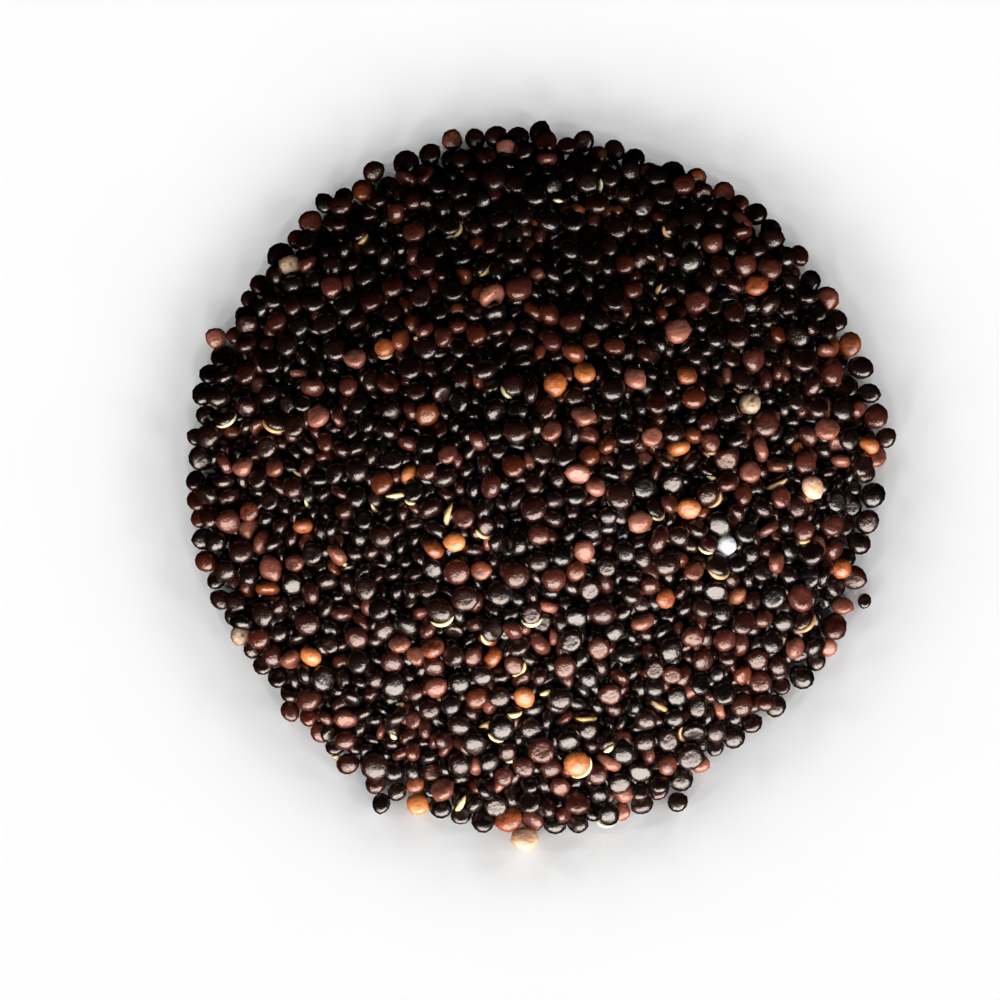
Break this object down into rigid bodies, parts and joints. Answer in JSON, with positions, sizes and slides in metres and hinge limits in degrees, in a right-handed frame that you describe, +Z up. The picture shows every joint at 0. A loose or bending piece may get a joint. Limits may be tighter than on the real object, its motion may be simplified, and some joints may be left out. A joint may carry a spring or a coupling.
{
  "type": "heap of black quinoa",
  "caption": "Round low heap of dry black quinoa as it lies on a table, with an uneven grainy surface and a stray grain beside its edge.",
  "frame": {"origin": "on the table under the middle of the heap's box", "axes": "+Z up; +Y away from the viewer of the picture, towards the shaded side of the heap; +X to the viewer's right"},
  "size_m": [0.0638, 0.0662, 0.0121],
  "materials": {
    "black_seed_coat": "satin near-black dry seed coat, some grains maroon or russet",
    "dark_brown_seed_coat": "satin dark brown dry seed coat"
  },
  "bodies": {
    "root": {"quinoa_heap": "black_seed_coat", "loose_grain": "dark_brown_seed_coat"}
  },
  "joints": []
}
